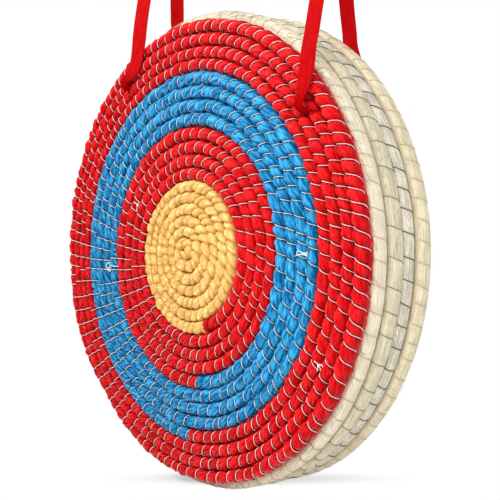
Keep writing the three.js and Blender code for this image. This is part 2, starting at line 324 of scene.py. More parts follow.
def rope_material(name, main, shade, light, look):
    """Satin fibre. The mesh gives each point's place along and across its fibres, and how much painted shade
    it takes there.
    """
    paint = Nodes(bpy.data.materials.new(name))
    place = paint.attribute("rope_place").outputs["Vector"]
    hollow = paint.attribute("hollow").outputs["Fac"]
    wisps = paint.noise(place, look["wisps"], detail=4.0)
    hairs = paint.noise(place, look["hairs"], detail=2.0)
    blotches = paint.noise(place, look["blotches"], detail=2.0)
    tone = paint.mix(paint.ramp(wisps, band=(0.38, 0.62)), main, light)
    tone = paint.mix(paint.ramp(blotches, WIDE_BAND, look["blotch_share"], 0.0), tone, shade)
    tone = paint.mix(paint.ramp(hairs, band=(0.5, 0.66), high_out=look["hair_share"]), tone, shade)
    # Painted shade: the colour darkens toward the shade tone in grooves, pinches, creases, beside threads and
    # on the face's calm side
    tone = paint.mix(paint.maths("MULTIPLY", hollow, look["painted_shade_share"]), tone, shade)
    normal = paint.bump(wisps, FIBRE_BUMP, look["wisp_depth"])
    normal = paint.bump(hairs, FIBRE_BUMP, look["hair_depth"], normal)
    roughness = paint.ramp(wisps, WIDE_BAND, *look["roughness"])
    inputs = {"Base Color": tone, "Normal": normal, "Roughness": roughness}
    inputs.update({"Specular IOR Level": look["specular"], "Specular Tint": light})
    paint.fill(paint.shader, inputs)
    return paint.made


# Each rope's main colour, its shade and its light
GOLD_TONES = (colour(242, 202, 116), colour(188, 124, 50), colour(255, 227, 152))
RED_TONES = (colour(208, 13, 19), colour(104, 0, 6), colour(238, 38, 40))
BLUE_TONES = (colour(10, 104, 166), colour(2, 26, 66), colour(68, 184, 238))
STRAW_TONES = [
    (colour(228, 216, 192), colour(172, 158, 132), colour(238, 228, 208)),
    (colour(212, 203, 176), colour(136, 128, 98), colour(226, 217, 192)),
    (colour(216, 209, 190), colour(112, 103, 82), colour(240, 233, 216)),
    (colour(222, 209, 180), colour(160, 144, 110), colour(234, 223, 196)),
]
gold_rope = rope_material("gold_rope", *GOLD_TONES, GOLD_LOOK)
red_rope = rope_material("red_rope", *RED_TONES, DYED_LOOK)
blue_rope = rope_material("blue_rope", *BLUE_TONES, DYED_LOOK)
straw_ropes = [rope_material(f"straw_{n + 2}", *tones, STRAW_LOOK) for n, tones in enumerate(STRAW_TONES)]

# Thread: how its strands turn
THREAD_TWIST = 2.6
THREAD_STRANDS = 3.0
STRAND_SHIFT = 0.5


def thread_material(name, main, shade):
    """Twisted thread: a place's first number runs along it and its second runs around it."""
    paint = Nodes(bpy.data.materials.new(name))
    place = paint.attribute("rope_place").outputs["Vector"]
    split = paint.add("ShaderNodeSeparateXYZ", {"Vector": place})
    around = paint.maths("MULTIPLY_ADD", split.outputs["Y"], THREAD_STRANDS, STRAND_SHIFT)
    strand = paint.maths("SINE", paint.maths("MULTIPLY_ADD", split.outputs["X"], THREAD_TWIST, around))
    wear = paint.noise(place, scales=(0.4, 0.4, 0.4), detail=2.0)
    # Painted shade in the grooves between the twisted strands, then darker random wear
    tone = paint.mix(paint.ramp(strand, band=(-1.0, 0.2), low_out=0.6, high_out=0.0), main, shade)
    tone = paint.mix(paint.ramp(wear, band=(0.45, 0.75), high_out=0.5), tone, shade)
    normal = paint.bump(strand, strength=0.4, distance=0.0001)
    paint.fill(paint.shader, {"Base Color": tone, "Normal": normal, "Roughness": 0.6, "Sheen Weight": 0.1})
    return paint.made


white_thread = thread_material("white_thread", colour(252, 246, 238), colour(222, 206, 194))
gold_thread = thread_material("gold_thread", colour(190, 138, 74), colour(132, 86, 40))
pale_thread = thread_material("pale_thread", colour(190, 178, 146), colour(150, 136, 104))
grey_thread = thread_material("grey_thread", colour(126, 116, 84), colour(86, 78, 54))
dark_thread = thread_material("dark_thread", colour(84, 74, 58), colour(48, 42, 34))
tie_cord = thread_material("tie_cord", colour(244, 240, 230), colour(208, 198, 180))

# Webbing: its weave along and across
WEAVE_RIBS = 5.2
WEAVE_CORDS = 6.3
WEBBING_PAINTED_SHADE_SHARE = 0.7


def webbing_material():
    """Woven tape: a place's first number runs along it and its second across it."""
    paint = Nodes(bpy.data.materials.new("webbing"))
    place = paint.attribute("rope_place").outputs["Vector"]
    split = paint.add("ShaderNodeSeparateXYZ", {"Vector": place})
    ribs = paint.maths("SINE", paint.maths("MULTIPLY", split.outputs["X"], WEAVE_RIBS))
    cords = paint.maths("SINE", paint.maths("MULTIPLY", split.outputs["Y"], WEAVE_CORDS))
    weave = paint.maths("MULTIPLY", ribs, cords)
    wear = paint.noise(place, scales=(0.05, 0.3, 1.0), detail=3.0)
    tone = paint.mix(paint.ramp(wear, WIDE_BAND), colour(168, 5, 8), colour(190, 12, 14))
    # Painted shade in the hollows between the weave's ribs and cords
    weave_shade = paint.ramp(weave, band=(-1.0, 0.6), low_out=0.25, high_out=0.0)
    tone = paint.mix(weave_shade, tone, colour(136, 4, 8))
    # Painted shade at the strap's edges and in its pleats' valleys, carried by the mesh
    hollow = paint.attribute("hollow").outputs["Fac"]
    tone = paint.mix(paint.maths("MULTIPLY", hollow, WEBBING_PAINTED_SHADE_SHARE), tone, colour(140, 0, 6))
    normal = paint.bump(weave, strength=0.4, distance=0.0001)
    inputs = {"Base Color": tone, "Normal": normal, "Roughness": 0.7}
    inputs.update({"Specular IOR Level": 0.08,"Specular Tint": colour(220, 30, 30)})
    paint.fill(paint.shader, inputs)
    return paint.made


webbing = webbing_material()


# Meshes
def add_mesh(name, points, faces, material, body, values, smooth=True):
    """An object from points in millimetres, lists of faces with as many corners each, and attributes."""
    mesh = bpy.data.meshes.new(name)
    points = np.asarray(points, np.float64).reshape(-1, 3) * METRES_PER_MM
    corners = np.concatenate([np.asarray(group).ravel() for group in faces]).astype(np.int32)
    totals = np.concatenate([np.full(len(group), len(group[0])) for group in faces]).astype(np.int32)
    mesh.vertices.add(len(points))
    mesh.vertices.foreach_set("co", points.astype(np.float32).ravel())
    mesh.loops.add(len(corners))
    mesh.loops.foreach_set("vertex_index", corners)
    mesh.polygons.add(len(totals))
    mesh.polygons.foreach_set("loop_start", (np.cumsum(totals) - totals).astype(np.int32))
    for key, numbers in values.items():
        flat = np.asarray(numbers, np.float32)
        is_vector = flat.ndim > 1
        made = mesh.attributes.new(key, "FLOAT_VECTOR" if is_vector else "FLOAT", "POINT")
        made.data.foreach_set("vector" if is_vector else "value", flat.ravel())
    mesh.update(calc_edges=True)
    if smooth:
        mesh.shade_smooth()
    mesh.materials.append(material)
    made = bpy.data.objects.new(name, mesh)
    bpy.context.scene.collection.objects.link(made)
    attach(made, body)
    return made


def tube_faces(rings, sides, first=0):
    """Side faces between rings of points, then an end face at each end."""
    start = first + sides * np.arange(rings - 1)[:, None]
    after = start + sides
    side = np.arange(sides)[None, :]
    beside = (side + 1) % sides
    quads = np.stack([start + side, start + beside, after + beside, after + side], -1).reshape(-1, 4)
    last = first + sides * (rings - 1)
    ends = np.stack([np.arange(sides)[::-1] + first, np.arange(sides) + last])
    return [quads, ends]


def tube_along(path, radius, sides):
    """Rings of points about a path, with each ring square to it."""
    ahead = np.gradient(path, axis=0)
    ahead /= np.linalg.norm(ahead, axis=1, keepdims=True)
    start = np.cross(ahead[0], (0.31, 0.52, 0.79))
    start /= np.linalg.norm(start)
    sideways = [start]
    for step in ahead[1:]:
        kept = sideways[-1] - step * np.dot(sideways[-1], step)
        sideways.append(kept / np.linalg.norm(kept))
    sideways = np.array(sideways)
    upward = np.cross(ahead, sideways)
    angle = FULL_TURN * np.arange(sides) / sides
    ring = sideways[:, None] * np.cos(angle)[None, :, None] + upward[:, None] * np.sin(angle)[None, :, None]
    return path[:, None] + ring * radius


def tubes_piece(name, lines, radii, lengths, material):
    """One piece from several thin tubes, with the lengths along each that its twist follows."""
    turn = FULL_TURN * np.arange(THREAD_SIDES) / THREAD_SIDES
    points, places, faces = [], [], [[], []]
    first = 0
    for line, radius, length in zip(lines, radii, lengths):
        for kind, group in zip(faces, tube_faces(len(line), THREAD_SIDES, first)):
            kind.append(group)
        points.append(tube_along(line, radius, THREAD_SIDES).reshape(-1, 3))
        along = np.repeat(length, THREAD_SIDES)
        around = np.tile(turn, len(line))
        places.append(np.stack([along, around, 0 * along], -1))
        first += len(along)
    groups = [np.concatenate(kind) for kind in faces]
    values = {"rope_place": np.concatenate(places)}
    return add_mesh(name, np.concatenate(points), groups, material, "boss", values)


def eased(share):
    return share * share * (3 - 2 * share)


def smooth_noise(x, y, seed):
    """Smooth random numbers from 0 to 1 over a plane, one cell wide."""
    table = np.random.default_rng(seed).random((NOISE_CELLS, NOISE_CELLS))
    column = np.floor(x).astype(int)
    row = np.floor(y).astype(int)
    across = eased(x - column)
    up = eased(y - row)
    here, beside = column % NOISE_CELLS, (column + 1) % NOISE_CELLS
    this_row, next_row = row % NOISE_CELLS, (row + 1) % NOISE_CELLS
    low = table[here, this_row] * (1 - across) + table[beside, this_row] * across
    high = table[here, next_row] * (1 - across) + table[beside, next_row] * across
    return low * (1 - up) + high * up


def toward(angle, middle, power):
    """One at an angle around a coil and zero on its other side. A higher power makes it narrower."""
    return ((1 + np.cos(angle - middle)) / 2) ** power


# Coils
def spacing(knots, turn):
    """A number at a turn count, along straight lines between the knots and on past the last ones."""
    turns, numbers = np.array(knots, np.float64).T
    index = np.clip(np.searchsorted(turns, turn) - 1, 0, len(turns) - 2)
    span = turns[index + 1] - turns[index]
    return numbers[index] + (turn - turns[index]) * (numbers[index + 1] - numbers[index]) / span


GOLD_START_TURNS = GOLD_END_TURNS - GOLD_TURNS
gold_end_radius = GOLD_PITCH * GOLD_TURNS
inner_red_end_radius = gold_end_radius + INNER_RED_PITCH * (INNER_RED_END_TURNS - GOLD_END_TURNS)
blue_end_radius = inner_red_end_radius + BLUE_PITCH * (BLUE_END_TURNS - INNER_RED_END_TURNS)
outer_red_end_radius = blue_end_radius + OUTER_RED_PITCH * (OUTER_RED_END_TURNS - BLUE_END_TURNS)
straw_radius = outer_red_end_radius + STRAW_OVERHANG


class Coil:
    """A coil gives the angle, the radius and the eye's place at each turn count."""

    def __init__(self, y, tail_angle, first_turn, last_turn, tall_share, radii, rights, ups):
        self.y = y
        self.tail_angle = tail_angle
        self.first_turn = first_turn
        self.last_turn = last_turn
        self.tall_share = tall_share
        self.radii = radii
        self.rights = rights
        self.ups = ups
        self.laid = []

    def angle(self, turn):
        return self.tail_angle + FULL_TURN * (turn - self.last_turn)

    def radius(self, turn):
        return np.maximum(spacing(self.radii, turn), 0)

    def pitch(self, turn):
        return spacing(self.radii, turn + OUTER_GROOVE) - spacing(self.radii, turn + INNER_GROOVE)

    def place(self, turn, across):
        angle = self.angle(turn)
        radius = self.radius(turn + across)
        right = spacing(self.rights, turn + across) + SOURCE_SHIFT[0]
        up = spacing(self.ups, turn + across) + SOURCE_SHIFT[1]
        wide = (1 - self.tall_share) * radius
        tall = (1 + self.tall_share) * radius
        return right + wide * np.cos(angle), up + tall * np.sin(angle)

    def nearest(self, x, z):
        """The turn count of the rope that passes closest to a point, and how far across that rope it lies."""
        turns = np.linspace(self.first_turn, self.last_turn, NEAREST_STEPS)
        middles = np.stack(self.place(turns, 0.0), -1)
        best = np.argmin(np.linalg.norm(middles - (x, z), axis=1))
        angle = self.angle(turns[best])
        outward = np.dot(np.array([x, z]) - middles[best], (np.cos(angle), np.sin(angle)))
        return turns[best], outward / self.pitch(turns[best])


def eye_knots(start, end):
    return [(GOLD_START_TURNS, start), (GOLD_END_TURNS, 0), (BLUE_END_TURNS, 0), (OUTER_RED_END_TURNS, end)]


face_y = (LAYER_PITCH - LAYER_PITCH * LAYER_COUNT) / 2
face_coil = Coil(
    face_y,
    FULL_TURN * OUTER_RED_END_TURNS - QUARTER_TURN,
    GOLD_START_TURNS,
    OUTER_RED_END_TURNS,
    FACE_TALL_SHARE,
    [
        (GOLD_START_TURNS, 0), (GOLD_END_TURNS, gold_end_radius), (INNER_RED_END_TURNS, inner_red_end_radius),
        (BLUE_END_TURNS, blue_end_radius), (OUTER_RED_END_TURNS, outer_red_end_radius),
    ],
    eye_knots(-GOLD_EYE_LEFT, OUTER_DRIFT_RIGHT),
    eye_knots(GOLD_EYE_UP, 0),
)
STRAP_HOLES = [face_coil.place(route["hole_turn"], OUTER_GROOVE) for route in (LEFT_STRAP, RIGHT_STRAP)]


def straw_coil(index, radius_share, tail_degrees):
    """A straw layer's coil, which is the same width in every turn."""
    tail = math.radians(tail_degrees)
    outer = straw_radius * radius_share
    last = math.ceil((outer + STRAW_PITCH / 2) / STRAW_PITCH)
    lean = STRAW_PITCH / math.pi
    right = STRAW_CENTRE_RIGHT - lean * math.sin(tail)
    up = STRAW_CENTRE_UP + lean * math.cos(tail)
    first = last - (outer + STRAW_PITCH / 2) / STRAW_PITCH + 1 / 2 + START_TURN_SHARE
    radii = [(last - 1, outer - STRAW_PITCH), (last, outer)]
    y = face_y + LAYER_PITCH * index
    return Coil(y, tail, first, last, STRAW_TALL_SHARE, radii, [(0, right), (1, right)], [(0, up), (1, up)])


class Rope:
    """A length of a coil's rope, with the places of the stitches that pinch it, in millimetres along it."""

    def __init__(self, coil, first, last, form):
        self.coil = coil
        self.form = form
        self.turns = np.linspace(first, last, int((last - first) * TURN_SAMPLES) + 2)
        steps = np.hypot(*np.diff(coil.place(self.turns, 0.0), axis=1))
        self.marks = np.concatenate([[0], np.cumsum(steps)])
        self.length = self.marks[-1]
        self.girths = self.measure_girth()
        self.stitches = self.lay_stitches()
        step = form["stitch_step"]
        self.known = np.concatenate([[-step], self.stitches, [self.length + step]])
        random = np.random.default_rng(form["seed"])
        count = len(self.known)
        self.swell = random.uniform(-1, 1, count)
        self.rise = random.uniform(-1, 1, count)
        self.skew = random.uniform(-1, 1, count)
        self.tint = random.uniform(0, 1, count)
        ends = np.concatenate([[0], self.stitches, [self.length, self.length]])
        middles = coil.angle(self.turn_at((ends[:-1] + ends[1:]) / 2))
        self.tilts = form["fold_tilt"] * (1 - form["tilt_fall"] * toward(middles, 0, power=2))
        self.tilts = self.tilts + form["calm_tilt"] * self.calm_at(middles) + form["fold_skew"] * self.skew

    def turn_at(self, along):
        return np.interp(along, self.marks, self.turns)

    def along_at(self, turn):
        return np.interp(turn, self.turns, self.marks)

    def calm_at(self, angle):
        """How flat and closely sewn the face is at an angle. It is 1 where it is calmest."""
        return toward(angle, self.form["calm_angle"], power=1.5)

    def slant_at(self, angle):
        """How far a stitch leans along the rope. It leans least on the left."""
        return self.form["slant"] * (1 - self.form["slant_fall"] * toward(angle, HALF_TURN, power=4))

    def lay_stitches(self):
        """Each stitch follows the last by about a step, or carries on the line of one in the turn inside."""
        form = self.form
        random = np.random.default_rng(form["seed"] + 1)
        step = form["stitch_step"]
        places = [step / 2]
        while places[-1] < self.length:
            wanted = places[-1] + step * (1 + form["stitch_jitter"] * random.uniform(-1, 1))
            turn = self.turn_at(wanted)
            broken = form["line_break"] * max(0, math.cos(self.coil.angle(turn) - form["line_break_angle"]))
            if self.coil.laid and random.random() < form["line_share"] * (1 - broken):
                middle = max(self.coil.radius(turn + INNER_GROOVE), self.coil.pitch(turn))
                lean = self.slant_at(self.coil.angle(turn)) / (FULL_TURN * middle)
                laid = np.array(self.coil.laid)
                inside = laid[np.argmin(np.abs(laid - (turn - 1 + lean)))]
                joined = self.along_at(inside + 1 - lean)
                if JOIN_SHARES[0] * step < joined - places[-1] < JOIN_SHARES[1] * step:
                    wanted = joined + JOIN_JITTER_SHARE * step * random.uniform(-1, 1)
            places.append(wanted)
            self.coil.laid.append(self.turn_at(wanted))
        return np.array(places[:-1])

    def section(self, around, calm):
        """Shares of the rope's width and height at an angle around it, from outward toward the front."""
        power = 2 / (self.form["squareness"] + self.form["calm_squareness"] * calm)
        across = np.sign(np.cos(around)) * np.abs(np.cos(around)) ** power / 2
        depth = np.sign(np.sin(around)) * np.abs(np.sin(around)) ** power / 2
        return across, depth

    def measure_girth(self):
        """Lengths around the rope for angles from 0 to a full turn."""
        angles = np.linspace(0, FULL_TURN, GIRTH_STEPS)
        across, depth = self.section(angles, calm=0.5)
        lengths = np.hypot(np.diff(across) * BLUE_PITCH, np.diff(depth) * ROPE_HEIGHT)
        return angles, np.concatenate([[0], np.cumsum(lengths)])

    def girth_at(self, around):
        angles, lengths = self.girths
        turns = np.floor(around / FULL_TURN)
        return turns * lengths[-1] + np.interp(around - turns * FULL_TURN, angles, lengths)

    def side_angles(self, middle, span):
        """Angles around the rope, close together where it shows and wider where it doesn't."""
        low, high = middle - span / 2, middle + span / 2
        fine = np.linspace(low, high, GIRTH_STEPS)
        wanted = np.linspace(self.girth_at(low), self.girth_at(high), SHOWN_SIDES, endpoint=False)
        shown = np.interp(wanted, self.girth_at(fine), fine)
        return np.concatenate([shown, np.linspace(high, low + FULL_TURN, HIDDEN_SIDES, endpoint=False)])

    def creases(self, along, girth, index, near, calm):
        """How deep each point lies in a fold of the fibre, from 0 up. Folds are deepest beside a thread."""
        form = self.form
        tilt = self.tilts[index]
        run = along / form["fold_length"]
        wander = smooth_noise(run, girth / form["fold_width"] / 2, form["seed"] + 2) - NOISE_MEAN
        line = (girth * np.cos(tilt) - along * np.sin(tilt)) / form["fold_width"]
        line = line + form["fold_wander"] * wander + FOLD_SHIFT * self.tint[index]
        crease = (1 - np.abs(np.sin(math.pi * line))) ** form["fold_sharpness"]
        patch = smooth_noise(PATCH_RATE * run + PATCH_SHIFT, girth / form["fold_width"], form["seed"] + 3)
        shown = np.clip((patch - form["fold_bare"]) / PATCH_EDGE_SHARE, 0, 1)
        shown = shown * (form["fold_away"] + form["fold_calm"] * calm)
        gathered = form["fold_gather"] * np.exp(-near / form["fold_reach"])
        return crease * np.maximum(shown, gathered)

    def skin(self, along, around, lift=0.0, folds=True):
        """Points on the rope's surface, with each one's place along its fibres and how much painted shade it
        takes there.
        """
        form = self.form
        along, around = np.broadcast_arrays(np.asarray(along, float), np.asarray(around, float))
        turn = self.turn_at(along)
        angle = self.coil.angle(turn)
        calm = self.calm_at(angle)
        slanted = along + self.slant_at(angle) * form["slant_part"](around)
        index = np.clip(np.searchsorted(self.stitches, slanted), 0, len(self.stitches))
        before, after = self.known[index], self.known[index + 1]
        share = np.clip((slanted - before) / (after - before), 0, 1)
        near = np.minimum(slanted - before, after - slanted)

        # How the stitches shape it: pinched at a thread and plump between two
        pinch = np.exp(-((near / form["pinch_length"]) ** 2))
        strength = 1 - form["calm_share"] * calm
        plump = np.sin(math.pi * share ** (1 + PLUMP_SKEW_SHARE * self.skew[index])) ** PLUMP_POWER
        scale = 1 - form["pinch"] * strength * pinch + form["plump"] * strength * (plump - 0.5)
        scale = scale + form["swell"] * self.swell[index] * plump

        # How its fibre bulges and folds
        girth = self.girth_at(around)
        crease = self.creases(along, girth, index, near, calm)
        push = lift
        if folds:
            lump = along / BULGE_SIZE + BULGE_SHIFT * self.tint[index]
            bulge = smooth_noise(lump, girth / BULGE_SIZE, form["seed"] + 5) - NOISE_MEAN
            push = lift + (form["fold_swell"] * bulge - form["fold_depth"] * crease)

        # Where that puts each point, with the rope narrowed toward its tail
        across, depth = self.section(around, calm)
        across = across * scale + push * np.cos(around) / self.coil.pitch(turn)
        depth = depth * scale + push * np.sin(around) / ROPE_HEIGHT
        sway = smooth_noise(along / SWAY_LENGTH, 0 * angle, form["seed"] + 4) - NOISE_MEAN
        across = across + form["sway"] * sway
        tail = np.clip((self.coil.last_turn - turn) / TAIL_TURN_SHARE, 0, 1)
        width_share = TAIL_TIP_SHARE + (1 - TAIL_TIP_SHARE) * tail
        across = (across - INNER_GROOVE) * width_share + INNER_GROOVE
        depth = depth * (1 + width_share) / 2
        x, z = self.coil.place(turn, across)
        y = self.coil.y - ROPE_HEIGHT * depth + form["heave"] * self.rise[index] * plump
        points = np.stack([x, y, z], -1)

        # What its material reads, and the painted shade: darker in pinches, grooves and creases, beside each
        # thread and toward the calm side
        tilt = form["fibre_lean"] * self.tilts[index]
        with_fibre = (along - before) * np.cos(tilt) + girth * np.sin(tilt)
        over_fibre = girth * np.cos(tilt) - (along - before) * np.sin(tilt)
        places = np.stack([with_fibre, over_fibre, TINT_SHIFT * self.tint[index]], -1)
        sides = np.abs(form["groove_part"](around))
        groove = form["groove_shade"] * np.clip((sides - GROOVE_START_SHARE) / (1 - GROOVE_START_SHARE), 0, 1)
        # A painted shadow along both sides of each thread
        beside = form["thread_shade"] * np.exp(-((near / form["thread_reach"]) ** 2))
        shades = [form["pinch_shade"] * pinch, groove, beside, form["fold_shade"] * crease**FOLD_SHADE_POWER]
        return points, places, np.clip(np.maximum.reduce(shades) + form["calm_shade"] * calm, 0, 1)


def across_part(around):
    """From -0.5 at the inner groove to about 0.5 at the outer one, and on down the rope's outer side."""
    return np.cos(around) / 2 + RIM_WRAP_SHARE * np.maximum(RIM_WRAP_ANGLE - around, 0) ** 2


def depth_part(around):
    """From -0.5 at the front to 0.5 at the rear, for threads that show on the rim."""
    return -np.sin(around) / 2


def rope_piece(name, rope, step, shown, material):
    count = int(rope.length / step) + 1
    along = np.linspace(0, rope.length, count)[:, None]
    angles = rope.side_angles(*shown)
    points, places, hollow = rope.skin(along, angles[None, :])
    values = {"rope_place": places.reshape(-1, 3), "hollow": hollow.ravel()}
    return add_mesh(name, points, tube_faces(count, len(angles)), material, "boss", values)


def thread_piece(name, rope, radius, sweep, material):
    """The stitches of a rope, each a thin tube that lies over its pinch and goes down into the grooves."""
    around = np.linspace(*sweep, THREAD_RINGS)
    part = rope.form["slant_part"](around)
    random = np.random.default_rng(rope.form["seed"] + 9)
    lines, lengths = [], []
    for number, stitch in enumerate(rope.stitches):
        slant = rope.slant_at(rope.coil.angle(rope.turn_at(stitch)))
        lean = slant * (1 + LEAN_JITTER_SHARE * random.uniform(-1, 1))
        along = stitch - lean * part
        if along.min() < 0 or along.max() > rope.length:
            continue
        line = rope.skin(along, around, lift=radius * THREAD_LIFT_SHARE, folds=False)[0]
        from_holes = line[:, None, [0, 2]] - np.array(STRAP_HOLES)
        if np.linalg.norm(from_holes, axis=-1).min() < HOLE_CLEARANCE:
            continue
        lines.append(line)
        lengths.append(np.linspace(0, THREAD_RINGS, THREAD_RINGS) + number * STITCH_SHIFT)
    return tubes_piece(name, lines, [radius] * len(lines), lengths, material)


# Straps first, because they are the cords
def catmull_rom(points, steps):
    """A centripetal curve through the points, as the source draws it."""
    points = np.asarray(points, np.float64)
    whole = np.vstack([2 * points[0] - points[1], points, 2 * points[-1] - points[-2]])
    line = []
    for a, b, c, d in zip(whole, whole[1:], whole[2:], whole[3:]):
        ab, bc, cd = (np.sqrt(np.linalg.norm(q - p)) for p, q in ((a, b), (b, c), (c, d)))
        leave = ((b - a) / ab - (c - a) / (ab + bc) + (c - b) / bc) * bc
        arrive = ((c - b) / bc - (d - b) / (bc + cd) + (d - c) / cd) * bc
        share = np.linspace(0, 1, steps, endpoint=False)[:, None]
        cubic = 2 * b - 2 * c + leave + arrive
        square = -3 * b + 3 * c - 2 * leave - arrive
        line.append(b + leave * share + square * share**2 + cubic * share**3)
    return np.vstack([*line, points[-1:]])


def evenly(line, step):
    lengths = np.concatenate([[0], np.cumsum(np.linalg.norm(np.diff(line, axis=0), axis=1))])
    wanted = np.linspace(0, lengths[-1], int(lengths[-1] / step) + 1)
    return np.stack([np.interp(wanted, lengths, line[:, axis]) for axis in range(3)], -1), wanted


def strap_line(route):
    """A strap's middle line, from inside its front hole to inside its rear one, and the lengths along it."""
    hole_x, hole_z = face_coil.place(route["hole_turn"], OUTER_GROOVE)
    line_y = HALF_THICKNESS + STRAP_STAND_OFF
    front = [(hole_x + right, -(line_y + out), hole_z + up) for right, out, up in route["front"]]
    rear = [(hole_x + right, line_y + out, hole_z + up) for right, out, up in route["rear"]]
    top = (hole_x + route["top"][0], 0, hole_z + route["top"][1])
    line, along = evenly(catmull_rom([*front, top, *rear[::-1]], STRAP_CURVE_STEPS), STRAP_STEP)
    tuck_y = line_y + route["front"][0][1] - STRAP_TUCK
    line = np.vstack([[hole_x, -tuck_y, hole_z], line, [hole_x, tuck_y, hole_z]])
    return line, np.concatenate([[-STRAP_TUCK], along, [along[-1] + STRAP_TUCK]])


def both_faces(front, back):
    """Goes across a strap's front face and returns across its back, which shares its edges."""
    return np.concatenate([front, back[..., -2:0:-1]], -1)


def strap_piece(name, route):
    """Webbing that is gathered in pleats at its holes and opens to its width above them."""
    line, along = strap_line(route)
    ahead = np.gradient(line, axis=0)
    ahead[:2] = ahead[-2:] = (0, -1, 0)
    ahead /= np.linalg.norm(ahead, axis=1, keepdims=True)
    from_hole = np.clip(np.minimum(along, along[-2] - along), 0, None)
    twist = math.radians(route["twist"]) * np.clip((from_hole - STRAP_TWIST_START) / STRAP_TWIST_LENGTH, 0, 1)
    sideways = np.stack([np.cos(twist), np.sin(twist), 0 * twist], -1)
    wide = sideways - ahead * np.sum(sideways * ahead, axis=1, keepdims=True)
    wide /= np.linalg.norm(wide, axis=1, keepdims=True)
    deep = np.cross(ahead, wide)

    # The section, from a bundle at the hole to flat webbing
    opened = np.clip(from_hole / STRAP_GATHER_LENGTH, 0, 1)
    widened = (1 - STRAP_EASE_SHARE) * opened + STRAP_EASE_SHARE * eased(opened)
    half_width = STRAP_NECK_RADIUS + (STRAP_WIDTH / 2 - STRAP_NECK_RADIUS) * widened
    gather = ((1 - opened) ** STRAP_GATHER_POWER)[:, None]
    share = np.linspace(-1, 1, STRAP_ACROSS_STEPS)
    pleat = np.cos(PLEAT_HALF_WAVES * math.pi * share[None, :] + route["pleat_shift"])
    pleat = pleat * (1 - PLEAT_FADE_SHARE * share[None, :] ** 2)
    bow = STRAP_BOW * (1 - gather) * share[None, :] ** 2
    wave = PLEAT_DEPTH * gather * (pleat - PLEAT_TOP_SHARE) + bow - STRAP_LIFT
    lip = np.sqrt(np.clip(1 - np.abs(share) ** STRAP_EDGE_POWER, 0, 1))[None, :]
    thick = STRAP_THICKNESS / 2 * (1 + NECK_THICK_SHARE * gather)
    side = share[None, :] * half_width[:, None] + route["neck_right"] * gather
    over = both_faces(wave + thick * lip, wave - thick * lip)
    lateral = both_faces(side, side)
    points = line[:, None] + wide[:, None] * lateral[..., None] + deep[:, None] * over[..., None]

    # What its material reads, with painted shade at its edges and in the valleys of its pleats
    shares = both_faces(share, share)
    places = np.stack(np.broadcast_arrays(along[:, None], shares[None, :] * STRAP_WIDTH / 2, 0.0), -1)
    edge = EDGE_SHADE_SHARE * np.abs(shares) ** EDGE_SHADE_POWER
    pleat_shade = gather * (1 - both_faces(pleat, pleat)) / 2
    hollow = np.clip(edge[None, :] + pleat_shade, 0, 1)
    values = {"rope_place": places.reshape(-1, 3), "hollow": hollow.ravel()}
    faces = tube_faces(len(line), len(shares))
    made = add_mesh(f"{name}_webbing", points, faces, webbing, name, values)
    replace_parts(made, name)


strap_piece("left_strap", LEFT_STRAP)
strap_piece("right_strap", RIGHT_STRAP)

# Forms of rope. Lengths are in millimetres and angles in radians, and the rest are shares
FACE_FORM = {
    "squareness": 2.05, "calm_squareness": 1.2, "calm_share": 0.6, "calm_angle": math.radians(205),
    "calm_shade": 0.18, "slant": 6.0, "slant_fall": 0.75, "slant_part": across_part, "groove_part": np.cos,
    "groove_shade": 0.5, "stitch_step": 14.0, "stitch_jitter": 0.16, "line_share": 0.92, "line_break": 0.7,
    "line_break_angle": math.radians(75), "pinch_length": 2.4, "pinch": 0.19, "pinch_shade": 0.5,
    "thread_shade": 0.9, "thread_reach": 1.1, "plump": 0.08, "swell": 0.06, "sway": 0.09, "heave": 0.6,
    "fold_tilt": 0.9, "tilt_fall": 0.75, "calm_tilt": -0.3, "fold_skew": 0.25, "fibre_lean": 0.8,
    "fold_length": 9.0, "fold_width": 3.7, "fold_wander": 1.8, "fold_sharpness": 1.3, "fold_bare": 0.3,
    "fold_away": 0.5, "fold_calm": 0.9, "fold_gather": 1.25, "fold_reach": 4.5, "fold_depth": 2.2,
    "fold_swell": 1.8, "fold_shade": 0.9,
}
GOLD_FORM = dict(
    FACE_FORM, squareness=2.5, calm_share=0.75, calm_shade=0.05, slant=7.5, groove_shade=0.6,
    stitch_step=10.5, stitch_jitter=0.36, line_share=0.0, pinch_length=1.7, pinch_shade=0.65,
    thread_shade=0.6, thread_reach=0.8, plump=0.12, swell=0.07, sway=0.08, heave=1.0, fold_tilt=0.6,
    tilt_fall=0.4, calm_tilt=-0.1, fold_skew=0.7, fold_width=2.0, fold_bare=0.15, fold_away=0.6,
    fold_gather=0.8, fold_depth=1.1, fold_swell=1.2, fold_shade=0.75,
)
RIM_FORM = dict(
    FACE_FORM, squareness=2.6, calm_squareness=0.0, calm_share=0.0, calm_shade=0.0, slant=7.0,
    slant_fall=0.0, slant_part=depth_part, groove_part=np.sin, groove_shade=0.45, stitch_step=23.0,
    stitch_jitter=0.15, line_share=0.0, pinch_length=1.3, pinch=0.012, pinch_shade=0.3, thread_shade=0.5,
    thread_reach=1.0, plump=0.006, swell=0.006, sway=0.03, heave=0.15, fold_tilt=0.1, tilt_fall=0.0,
    calm_tilt=0.0, fold_skew=0.06, fibre_lean=0.0, fold_length=30.0, fold_width=2.2, fold_wander=1.4,
    fold_sharpness=2.0, fold_bare=0.35, fold_away=1.0, fold_calm=0.0, fold_gather=0.8, fold_reach=1.0,
    fold_depth=0.6, fold_swell=0.3,
)

